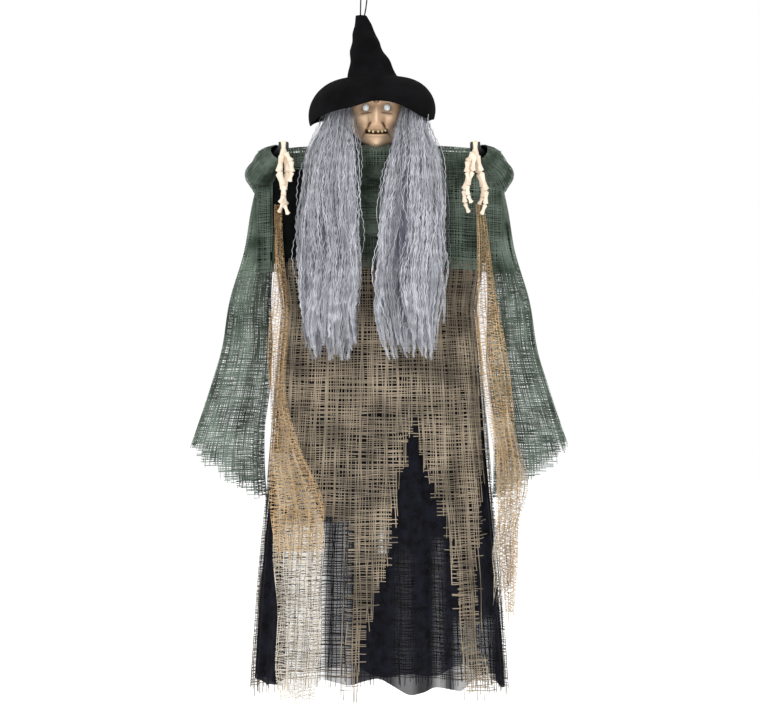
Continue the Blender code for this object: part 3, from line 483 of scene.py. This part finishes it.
def build_hat():
    """A soft felt cone that leans and creases, with a domed brim that droops at both sides."""
    base, tip = np.array((-0.0125, -0.004, 0.154)), np.array((-0.031, -0.002, 0.2585))
    columns = 96
    turn = np.linspace(0, 2 * np.pi, columns, endpoint=False)
    rows = []
    for share in np.linspace(1, 0, 40):
        middle = base + (tip - base) * share
        radius = along(share, (0, 0.2, 0.45, 0.75, 1.0), (0.0425, 0.0355, 0.0270, 0.0180, 0.0095))
        crease = 0.0022 * math.sin(share * 19) * np.cos(turn - 2.2) + 0.0014 * np.sin(3 * turn + share * 9)
        size = radius + crease * math.sin(math.pi * share)
        height = middle[2] + 0.05 * (np.cos(turn) + np.sin(turn)) * radius * (1 - share)
        rows.append(level_ring(middle, size, turn, height))
    steps = 26
    sideways = np.abs(np.cos(turn)) ** 1.5
    breadth = BRIM_FRONT + (BRIM_SIDE - BRIM_FRONT) * sideways
    radius, height = np.full(columns, 0.0430), np.zeros(columns)
    for n in range(steps):
        share = ((n + 0.5) / steps) ** 1.2
        slope = np.radians((4 + 104 * share) * sideways + 42 * (1 - sideways))
        radius = radius + breadth / steps * np.cos(slope)
        height = height - breadth / steps * np.sin(slope)
        ripple = 0.0035 * share * np.sin(5 * turn + 1.0)
        level = base[2] + height + (0.06 * np.sin(turn) + 0.03 * np.cos(turn)) * radius + ripple
        rows.append(level_ring(base, radius, turn, level))
    faces = grid_faces(len(rows), columns, True)
    hat = new_piece("felt_hat", np.concatenate(rows), faces, FELT_CLOTH)
    thickness = hat.modifiers.new("felt_thickness", "SOLIDIFY")
    thickness.thickness = 0.0022
    thickness.offset = -1.0
    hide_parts("hat_crown", "hat_brim")
    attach(hat, "head")


def fall_line(t, reach, turn, length, rng, centre, half_width, half_depth, heights):
    """The wavy line of one clump inside a fall of hair."""
    z = heights[0] + (heights[-1] - heights[0]) * t * length
    sway = 0.0060 * t * np.sin(2 * np.pi * (t * rng.uniform(1.0, 2.6) + rng.random()))
    x = centre[0](z) + half_width(z) * reach * math.cos(turn) + sway
    y = centre[1](z) + half_depth(z) * reach * math.sin(turn) + 0.5 * sway
    return np.stack([x, y, z], axis=1)


def strands(shape, clumps, rng):
    """Crimped ribbons of hair gathered in clumps that taper to points of uneven length."""
    samples = 60
    t = np.linspace(0, 1, samples)
    lines, sides, shades = [], [], []
    for n in range(clumps):
        reach, turn = math.sqrt(rng.random()), rng.uniform(0, 2 * np.pi)
        length = 1.0 - 0.10 * rng.random() - 0.16 * rng.random() ** 4
        middle = fall_line(t, reach, turn, length, rng, *shape)
        tone = rng.uniform(0.25, 1.0)
        spread = np.interp(t, (0, 0.15, 0.7, 1), (0.006, 0.0085, 0.0070, 0.0016))
        for m in range(STRANDS_PER_CLUMP):
            away, at = math.sqrt(rng.random()), rng.uniform(0, 2 * np.pi)
            stray = 2.4 if rng.random() < 0.10 else 1.0
            wander = at + 1.5 * smooth_noise(t, rng, 2, 2.0)
            crimp = 2 * np.pi * middle[:, 2] / CRIMP_LENGTH + rng.uniform(-0.9, 0.9)
            shift = np.stack([stray * spread * away * np.cos(wander) + CRIMP_DEPTH * np.sin(crimp),
                              0.7 * stray * spread * away * np.sin(wander) + CRIMP_DEPTH * np.cos(crimp),
                              np.zeros(samples)], axis=1)
            facing = rng.uniform(-0.8, 0.8)
            side = np.array((math.cos(facing), math.sin(facing), 0)) * STRAND_WIDTH / 2
            lines.append(middle + shift)
            sides.append(side * np.interp(t, (0, 0.85, 1), (1, 1, 0.2))[:, None])
            shades.append(np.full(samples * 2, np.clip(tone + rng.uniform(-0.3, 0.3), 0, 1)))
    lines, sides = np.array(lines), np.array(sides)
    points = np.stack([lines - sides, lines + sides], axis=2)
    one = grid_faces(samples, 2, False)
    faces = (one[None] + (np.arange(len(lines)) * samples * 2)[:, None, None]).reshape(-1, 4)
    return points.reshape(-1, 3), faces, np.concatenate(shades)


def hair_mass(name, cad_node, shape, clumps, seed):
    """A dark core of painted shade inside the hair, with strands over it, both riding on the head."""
    points, faces, shades = strands(shape, clumps, np.random.default_rng(seed))
    fall = new_piece(name, points, faces, HAIR_FIBRE)
    mark(fall, "shade", shades)
    if cad_node:
        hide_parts(cad_node)
    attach(fall, "head")
    centre, half_width, half_depth, heights = shape
    turn = np.linspace(0, 2 * np.pi, CORE_COLUMNS, endpoint=False)
    rings = []
    drop = heights[0] - heights[-1]
    for share in np.linspace(0, 0.88, 40):
        z = heights[0] - drop * share
        narrow = 0.80 * np.interp(share, (0.6, 0.88), (1.0, 0.25))
        furrow = narrow * (1 + 0.10 * np.sin(7 * turn + 25 * z))
        rings.append(np.stack([centre[0](z) + furrow * half_width(z) * np.cos(turn),
                               centre[1](z) + furrow * half_depth(z) * np.sin(turn),
                               np.full(CORE_COLUMNS, z)], axis=1))
    faces = grid_faces(len(rings), CORE_COLUMNS, True)
    core = new_piece(name + "_core", np.concatenate(rings), faces, HAIR_SHADE_CORE)
    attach(core, "head")


def build_hair():
    for seed, (label, (middles, halves)) in enumerate(LOCKS.items()):
        shape = (
            (lambda z, m=middles: along(z, LOCK_HEIGHTS, m), lambda z: along(z, LOCK_HEIGHTS, LOCK_DEPTHS)),
            lambda z, h=halves: along(z, LOCK_HEIGHTS, h),
            lambda z: along(z, LOCK_HEIGHTS, LOCK_HALF_DEPTHS),
            LOCK_HEIGHTS,
        )
        hair_mass(f"hair_strands_{label}", f"hair_{label}", shape, CLUMPS_PER_LOCK, seed)
    heights = (0.112, 0.070, 0.020, -0.050, -0.180, -0.310)
    shape = (
        (lambda z: HEAD_X + 0 * z, lambda z: along(z, heights, (0.068, 0.090, 0.098, 0.101, 0.102, 0.102))),
        lambda z: along(z, heights, (0.042, 0.050, 0.060, 0.072, 0.078, 0.070)),
        lambda z: along(z, heights, (0.014, 0.013, 0.012, 0.013, 0.013, 0.010)),
        heights,
    )
    hair_mass("hair_strands_back", "hair_back", shape, 120, 9)
    heights = (0.128, 0.090, 0.060, 0.040)
    shape = (
        (lambda z: HEAD_X + 0 * z, lambda z: along(z, heights, (0.022, 0.030, 0.040, 0.056))),
        lambda z: along(z, heights, (0.046, 0.053, 0.056, 0.056)),
        lambda z: along(z, heights, (0.044, 0.046, 0.042, 0.034)),
        heights,
    )
    hair_mass("hair_strands_nape", None, shape, 110, 10)


def build_loop():
    """The doubled cord that the figure hangs by, in one piece from the toggle round and back."""
    rise = np.array(((HEAD_X, 0.004, 0.1584), (-0.0058, 0.004, 0.170), (-0.0190, 0.002, 0.205),
                     (-0.0298, -0.001, 0.250), (-0.0275, 0.0, 0.272)))
    spread = np.array((0.0030, 0.0028, 0.0026, 0.0026, 0.0045))[:, None] * np.array((1, 0, 0))
    turn = np.linspace(0, np.pi, 11)
    arc = np.stack([-0.026 - 0.0055 * np.cos(turn), 0 * turn, 0.2933 + 0.0055 * np.sin(turn)], axis=1)
    line = to_frame(np.concatenate([rise - spread, arc, (rise + spread)[::-1]]))
    curve = bpy.data.curves.new("cord_loop", "CURVE")
    curve.dimensions = "3D"
    curve.bevel_depth = 0.0012
    curve.bevel_resolution = 3
    spline = curve.splines.new("POLY")
    spline.points.add(len(line) - 1)
    for point, place in zip(spline.points, line):
        point.co = (*place, 1.0)
    curve.materials.append(SLOT_MATERIALS["black_cord"])
    loop = bpy.data.objects.new("cord_loop", curve)
    bpy.context.scene.collection.objects.link(loop)
    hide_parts("hanging_loop")
    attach(loop, "head")


# ---------------------------------------------------------------- hands


def bone(start, end, thick):
    """One bone: a tube that is waisted in the middle and knobbly at its ends."""
    chain = np.linspace(start, end, 11)
    profile = np.interp(np.linspace(0, 1, 11), (0, 0.08, 0.2, 0.5, 0.8, 0.92, 1),
                        (0.25, 1.0, 0.85, 0.6, 0.85, 1.05, 0.25))
    return tubes([chain], thick * profile, 12)


FINGERS = (  # knuckle x and y, length and sideways curl of each finger
    (-0.006, -0.0150, 0.052, 1.0),
    (0.009, -0.0050, 0.070, -0.8),
    (-0.009, 0.0050, 0.066, 0.9),
    (0.006, 0.0150, 0.052, -1.0),
)


def build_hand(label, side):
    """A skeleton's hand that hangs loosely from the wrist pin, its fingers bent to both sides."""
    bones = [((0, 0.002, 0.008), (0, 0.000, -0.022), 0.0078)]
    for x, y, reach, curl in FINGERS:
        root, tip = np.array((0.3 * x, 0.45 * y, -0.016)), np.array((x, y, -0.044))
        bones.append((root, tip, 0.0056))
        for joint, share in enumerate((0.44, 0.32, 0.24)):
            bend = -side * (0.35 - 0.42 * joint) * curl
            end = tip + reach * share * np.array((bend, 0.06 * y / 0.015, -1.0))
            bones.append((tip, end, 0.0054 - 0.0007 * joint))
            tip = end
    thumb = np.array((-0.004 * side, -0.006, -0.014))
    for step, thick in (((-0.009 * side, -0.009, -0.014), 0.0054), ((-0.002 * side, -0.006, -0.018), 0.0050),
                        ((0.004 * side, -0.002, -0.016), 0.0040)):
        bones.append((thumb, thumb + np.array(step), thick))
        thumb = thumb + np.array(step)
    all_points, all_faces, used = [], [], 0
    for start, end, thick in bones:
        points, faces = bone(start, end, thick)
        all_points.append(points)
        all_faces.append(faces + used)
        used += len(points)
    points = np.concatenate(all_points) + WRIST * (side, 1, 1)
    hand = new_piece(f"bony_hand_{label}", points, np.concatenate(all_faces), BONE)
    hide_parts(f"hand_{label}")
    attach(hand, f"hand_{label}")


# ---------------------------------------------------------------- clothes


def robe_ring(angle, z, proud):
    """A point on the robe at an angle round it (0 at +X) and a height."""
    half_x, half_y = along(z, ROBE_HEIGHTS, ROBE_HALF_WIDTHS), along(z, ROBE_HEIGHTS, ROBE_HALF_DEPTHS)
    fall = np.clip(-z / 0.88, 0, 1)
    fold = 0.0075 * fall * np.sin(17 * angle + 2.0 * np.sin(2 * angle)) + 0.003 * fall * np.sin(41 * angle)
    x = (half_x + proud + 0.4 * fold) * np.cos(angle)
    y = (half_y + proud + fold) * np.sin(angle)
    return np.stack([x, y, np.asarray(z)], axis=-1)


def robe_cover(x, z):
    """How much light the robe stops: it is sheer or open in places near the hem and at the sides."""
    def within(low, high, top, soft=0.014):
        across = np.clip((x - low) / soft, 0, 1) * np.clip((high - x) / soft, 0, 1)
        return across * np.clip((top - z) / 0.015, 0, 1)

    cover = np.full(len(x), 0.97)
    for low, high, top, amount in (
        (-0.172, -0.082, -0.590, 0.20), (-0.092, -0.040, -0.586, 0.62), (0.020, 0.066, -0.640, 0.86),
        (0.085, 0.116, -0.620, 0.72), (0.118, 0.200, -0.755, 0.66),
    ):
        share = within(low, high, top)
        cover = cover * (1 - share) + amount * share
    slit = within(-0.008, 0.019, -0.600) * (z > -0.665)
    return cover * (1 - slit)


def build_robe():
    """The thin black under robe, a closed tube with an uneven hem."""
    def surface(u, v):
        angle = 2 * np.pi * u
        hem = -0.868 - 0.010 * np.sin(5 * angle + 1) - 0.006 * np.sin(13 * angle)
        return robe_ring(angle, hem * v, 0.0)

    rows, columns = 150, 420
    robe = plain_sheet("black_robe", surface, rows, columns, SHEER, True)
    places = sheet_points(surface, rows, columns, True)
    mark(robe, "cover", robe_cover(places[:, 0], places[:, 2]))
    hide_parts("robe")
    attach(robe, "torso")


def front_skirt_kept(points, rng):
    """Where the front gauze is: full width above, then two ragged tails with a gap between them."""
    x, z = points[:, 0], points[:, 2]
    ragged = 0.006 * rng.standard_normal(len(x)).cumsum() / math.sqrt(len(x))
    down = -z
    left_edge = np.interp(down, (0.12, 0.41, 0.57, 0.60, 0.70, 0.87),
                          (-0.150, -0.172, -0.165, -0.056, -0.050, -0.060))
    left_inner = np.interp(down, (0.41, 0.56, 0.67, 0.76, 0.87), (0.056, 0.031, 0.019, -0.014, -0.036))
    right_inner = np.interp(down, (0.41, 0.48, 0.60, 0.80, 0.88), (0.056, 0.064, 0.110, 0.138, 0.142))
    right_edge = np.interp(down, (0.12, 0.48, 0.80, 0.89), (0.165, 0.172, 0.166, 0.196))
    left_tail = (x > left_edge + ragged) & (x < left_inner + ragged)
    right_tail = (x > right_inner + ragged) & (x < right_edge + ragged)
    return np.where(z > -0.41, (x > left_edge + ragged) & (x < right_edge + ragged), left_tail | right_tail)


def build_gauze_skirt():
    """Loose gauze over the front and the back of the robe, with pulled holes."""
    for label, start, keep, seed in (("front", 1.02, front_skirt_kept, 21), ("back", 0.02, None, 22)):
        def surface(u, v, start=start):
            return robe_ring(np.pi * (start + 0.96 * u), -0.115 - 0.765 * v, 0.0065)

        skirt = woven_piece(f"gauze_skirt_{label}", surface, (0.44, 0.765), GAUZE, GAUZE_YARN,
                            "tan_gauze", seed, keep=keep, loose=0.9, breaks=0.008, fray=0.02, bunches=26)
        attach(skirt, "torso")
    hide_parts("gauze_skirt")


COWL_FOLDS = (  # how far each fold hangs down and stands forward, its half thickness and its cut length
    (0.030, 0.050, 0.011, 0.18),
    (0.062, 0.057, 0.012, 0.22),
    (0.100, 0.062, 0.012, 0.29),
)
PONCHO_PATH = np.array((  # y, z from the front hem over the shoulder to the back hem
    (-0.068, -0.172), (-0.066, -0.115), (-0.064, -0.060), (-0.052, -0.020), (-0.040, 0.022), (-0.030, 0.035),
    (0.030, 0.035), (0.040, 0.022), (0.052, -0.010), (0.060, -0.060), (0.063, -0.115), (0.064, -0.168),
))


PONCHO_HALF_WIDTH = 0.205
PONCHO_FLAT = (0.410, 0.455)


def poncho_surface(u, v, proud=0.0):
    steps = np.hypot(*np.diff(PONCHO_PATH, axis=0).T)
    share = np.concatenate([[0], np.cumsum(steps)]) / steps.sum()
    y, z = np.interp(v, share, PONCHO_PATH[:, 0]), np.interp(v, share, PONCHO_PATH[:, 1])
    x = PONCHO_HALF_WIDTH * (2 * u - 1)
    hang = np.clip((0.02 - z) / 0.18, 0, 1)
    fold = hang * (0.0055 * np.sin(2 * np.pi * x / 0.042 + 1.2) + 0.0025 * np.sin(2 * np.pi * x / 0.019))
    outward = np.sign(y)
    y = y * np.sqrt(1 - (x / 0.260) ** 2) + outward * (fold + proud)
    return np.stack([x, y, z - 0.010 * (x / PONCHO_HALF_WIDTH) ** 2 + proud], axis=-1)


def poncho_kept(points, rng):
    """Open round the neck, and in front of the black lining beside the arm at -X."""
    x, y, z = points.T
    ragged = 0.004 * rng.standard_normal(len(x)).cumsum() / math.sqrt(len(x))
    gap = (x > -0.176 + ragged) & (x < -0.128 + ragged) & (z < -0.006) & (y < 0)
    return (np.hypot(x - HEAD_X, y) > 0.029) & ~gap


def build_poncho():
    """Burlap over the shoulders with a dark lining under it, and a draped cowl below the chin."""
    outer = woven_piece("burlap_poncho", lambda u, v: poncho_surface(u, v, 0.002), PONCHO_FLAT, BURLAP,
                        BURLAP_YARN, "green_burlap", 31, keep=poncho_kept, fray=0.030)
    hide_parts("poncho")
    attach(outer, "torso")
    for label, low, high in (("front", 0.05, 0.43), ("back", 0.57, 0.96)):
        lining = plain_sheet(
            f"poncho_lining_{label}", lambda u, v: poncho_surface(u, low + (high - low) * v, -0.002),
            50, 140, LINING, False,
        )
        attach(lining, "torso")
    for n, (drop, reach, thick, cut) in enumerate(COWL_FOLDS):
        def swag(u, v, drop=drop, reach=reach, thick=thick):
            turn, curl = np.pi * (0.04 + 0.92 * u), 2 * np.pi * v
            size = thick * (0.75 + 0.25 * np.sin(turn)) * (1 + 0.16 * np.sin(9 * turn + 3 * curl))
            x = (0.066 + 0.004 * n) * np.cos(turn)
            y = -0.036 - (reach - 0.030) * np.sin(turn) + size * np.cos(curl)
            z = 0.014 - drop * np.sin(turn) ** 0.8 - 0.012 * n + size * np.sin(curl)
            return np.stack([x, y, z], axis=-1)

        cowl = woven_piece(f"cowl_fold_{n + 1}", swag, (cut, 0.072), BURLAP, BURLAP_YARN,
                           "green_burlap", 41 + n)
        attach(cowl, "torso")


WING_HEIGHTS = (0.020, -0.071, -0.139, -0.224, -0.309, -0.377, -0.445, -0.480, -0.575)
WING_INNER = (0.164, 0.173, 0.180, 0.186, 0.185, 0.190, 0.199, 0.200, 0.196)
WING_OUTER = (0.197, 0.218, 0.229, 0.253, 0.266, 0.286, 0.308, 0.319, 0.320)
WING_DEPTH = (0.026, 0.033, 0.041, 0.050, 0.056, 0.062, 0.068, 0.070, 0.070)


def wing_surface(side, u, v, scale, reach):
    """A point on the bell sleeve end, which starts at the shoulder and runs down by reach."""
    turn = 2 * np.pi * u
    z = 0.015 - reach * v
    inner, outer = along(z, WING_HEIGHTS, WING_INNER), along(z, WING_HEIGHTS, WING_OUTER)
    fold = 1 + 0.09 * np.clip(v * 2, 0, 1) * np.sin(9 * turn + 1.5 * np.sin(turn))
    x = (inner + outer) / 2 + scale * fold * (outer - inner) / 2 * np.cos(turn)
    y = scale * fold * along(z, WING_HEIGHTS, WING_DEPTH) * np.sin(turn)
    return np.stack([side * x, y, z], axis=-1)


def wing_kept(points, rng):
    """Cuts the wing along a ragged slope from its outer tip down to its inner edge."""
    out = np.clip((0.316 - np.abs(points[:, 0])) / 0.120, 0, 1)
    ragged = 0.016 * rng.random() + 0.005 * rng.random(len(points))
    return points[:, 2] > -0.478 - 0.094 * out ** 0.8 + ragged


def build_wing(label, side):
    """The long bell end of a sleeve, lined in black only at its narrow top, where the black is partly the
    robe's sleeve and partly painted shade inside the wing.
    """
    wing = woven_piece(
        f"burlap_wing_{label}", lambda u, v: wing_surface(side, u, v, 1.0, 0.590), (0.300, 0.590),
        BURLAP, BURLAP_YARN, "green_burlap", 51 + side, keep=wing_kept, breaks=0.008,
    )
    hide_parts(f"sleeve_wing_{label}")
    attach(wing, "torso")
    # Black sheet inside the wing's top: partly the robe's black sleeve, partly painted shade
    lining = plain_sheet(
        f"wing_lining_and_shade_{label}", lambda u, v: wing_surface(side, u, v, 0.84, 0.19), 30, 120,
        LINING, True,
    )
    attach(lining, "torso")


SLEEVE_LINE = np.array((
    (0.090, 0.002, -0.001), (0.120, 0.005, -0.008), (0.150, 0.012, -0.016), (0.180, 0.015, -0.024),
    (0.198, 0.004, -0.024), (0.200, -0.022, -0.014), (0.192, -0.050, 0.000), (0.180, -0.072, 0.010),
    (0.168, -0.090, 0.019),
))


def sleeve_middle(u):
    """The place on the sleeve's middle line at a share u of its length."""
    steps = np.linalg.norm(np.diff(SLEEVE_LINE, axis=0), axis=1)
    share = np.concatenate([[0], np.cumsum(steps)]) / steps.sum()
    return np.stack([np.interp(np.clip(u, 0, 1), share, SLEEVE_LINE[:, k]) for k in range(3)], axis=-1)


def build_sleeve(label, side):
    """The gathered burlap round one arm from the shoulder to the wrist."""
    def surface(u, v, scale=1.0):
        line = sleeve_middle(u)
        heading = sleeve_middle(u + 0.08) - sleeve_middle(u - 0.08)
        heading = heading / np.linalg.norm(heading, axis=-1)[..., None]
        first = np.cross(heading, (0, 0, 1.0))
        first = first / np.linalg.norm(first, axis=-1)[..., None]
        second = np.cross(first, heading)
        turn = 2 * np.pi * v
        size = scale * np.interp(u, (0, 0.5, 0.8, 1), (0.026, 0.026, 0.023, 0.013))
        size = size * (1 + 0.10 * np.sin(22 * u + np.sin(turn)))
        ring = np.cos(turn)[..., None] * first + np.sin(turn)[..., None] * second
        return (line + size[..., None] * ring) * (side, 1, 1)

    sleeve = woven_piece(f"burlap_sleeve_{label}", surface, (0.21, 0.150), BURLAP, BURLAP_YARN,
                         "green_burlap", 61 + side)
    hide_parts(f"sleeve_{label}")
    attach(sleeve, "arms")
    lining = plain_sheet(f"sleeve_lining_{label}", lambda u, v: surface(v, u, 0.88), 60, 48, LINING,
                         True)
    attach(lining, "arms")


STREAMERS = {  # heights, inner x and outer x at each
    "left": ((-0.070, -0.220, -0.390, -0.480, -0.560, -0.640), (0.160, 0.152, 0.150, 0.128, 0.094, 0.090),
             (0.170, 0.178, 0.181, 0.181, 0.178, 0.172)),
    "right": ((-0.070, -0.220, -0.430, -0.510, -0.600, -0.740), (0.158, 0.160, 0.178, 0.192, 0.196, 0.204),
              (0.170, 0.196, 0.222, 0.236, 0.228, 0.222)),
}
VEILS = {
    "left": ((-0.480, -0.580, -0.700, -0.885), (0.140, 0.100, 0.094, 0.104), (0.176, 0.175, 0.172, 0.168)),
    "right": ((-0.420, -0.500, -0.600, -0.700), (0.182, 0.196, 0.192, 0.186), (0.214, 0.242, 0.232, 0.216)),
}


def build_streamer(label, side):
    """A dense strip of gauze from one wrist, and a paler veil hanging on below it."""
    def hang(table, depth, u, v):
        heights, inner, outer = table
        z = heights[0] + (heights[-1] - heights[0]) * v
        low, high = along(z, heights, inner), along(z, heights, outer)
        x = low + (high - low) * u + 0.003 * np.sin(14 * v + 2 * u)
        y = depth + 0.007 * np.sin(9 * np.pi * u + 4 * v) + 0.004 * np.sin(6 * v)
        return np.stack([side * x, y, z], axis=-1)

    pieces = []
    for name, table, depth, yarn, material in (
        ("gauze_streamer", STREAMERS[label], -0.094, STREAMER, STREAMER_YARN),
        ("veil", VEILS[label], -0.086, VEIL, VEIL_YARN),
    ):
        flat = (0.066, round(table[0][0] - table[0][-1], 3))
        piece = woven_piece(f"{name}_{label}", lambda u, v: hang(table, depth, u, v), flat, yarn, material,
                            "tan_gauze", 71 + side, loose=1.6, fray=0.03, breaks=0.006, bunches=5)
        pieces.append(piece)
    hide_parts(f"streamer_{label}")
    for piece in pieces:
        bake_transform(piece)


# ---------------------------------------------------------------- studio


def area_light(name, place, aim, size, power):
    light = bpy.data.lights.new(name, "AREA")
    light.size = size
    light.energy = power
    obj = bpy.data.objects.new(name, light)
    bpy.context.scene.collection.objects.link(obj)
    obj.location = place
    obj.rotation_euler = (Vector(aim) - Vector(place)).to_track_quat("-Z", "Y").to_euler()


def build_studio():
    scene = bpy.context.scene
    scene.view_settings.view_transform = "Standard"
    world = bpy.data.worlds.new("white_studio")
    world.use_nodes = True
    world.node_tree.nodes["Background"].inputs["Color"].default_value = (1, 1, 1, 1)
    world.node_tree.nodes["Background"].inputs["Strength"].default_value = 1.0
    scene.world = world
    turn = np.linspace(0, 2 * np.pi, 64, endpoint=False)
    disc = np.stack([9 * np.cos(turn), 9 * np.sin(turn), np.full(64, FLOOR_Z)], axis=1) - BODY_ORIGIN
    pale = procedural("pale_floor", linear(246, 246, 246), linear(252, 252, 252), 2, 0.9, 0.0)
    pale.node_tree.nodes["Principled BSDF"].inputs["Emission Color"].default_value = (1, 1, 1, 1)
    pale.node_tree.nodes["Principled BSDF"].inputs["Emission Strength"].default_value = 0.35
    mesh = bpy.data.meshes.new("floor")
    mesh.from_pydata(to_frame(disc).tolist(), [], [list(range(64))])
    mesh.materials.append(pale)
    floor = bpy.data.objects.new("floor", mesh)
    scene.collection.objects.link(floor)
    area_light("key", (-1.6, -2.4, 0.6), (0, 0, -0.5), 1.6, 26)
    area_light("fill", (2.0, -2.0, -0.2), (0, 0, -0.6), 2.0, 10)
    camera = bpy.data.objects.new("camera", bpy.data.cameras.new("camera"))
    scene.collection.objects.link(camera)
    camera.location = CAMERA_PLACE
    camera.rotation_euler = (math.pi / 2, 0, 0)
    camera.data.lens = CAMERA_LENS
    camera.data.sensor_width = 36
    scene.camera = camera


def main():
    build_studio()
    dress_cad_nodes()
    build_loop()
    build_hat()
    build_head()
    build_teeth()
    build_hair()
    build_robe()
    build_gauze_skirt()
    build_poncho()
    for label, side in (("left", -1), ("right", 1)):
        build_hand(label, side)
        build_wing(label, side)
        build_sleeve(label, side)
        build_streamer(label, side)


main()
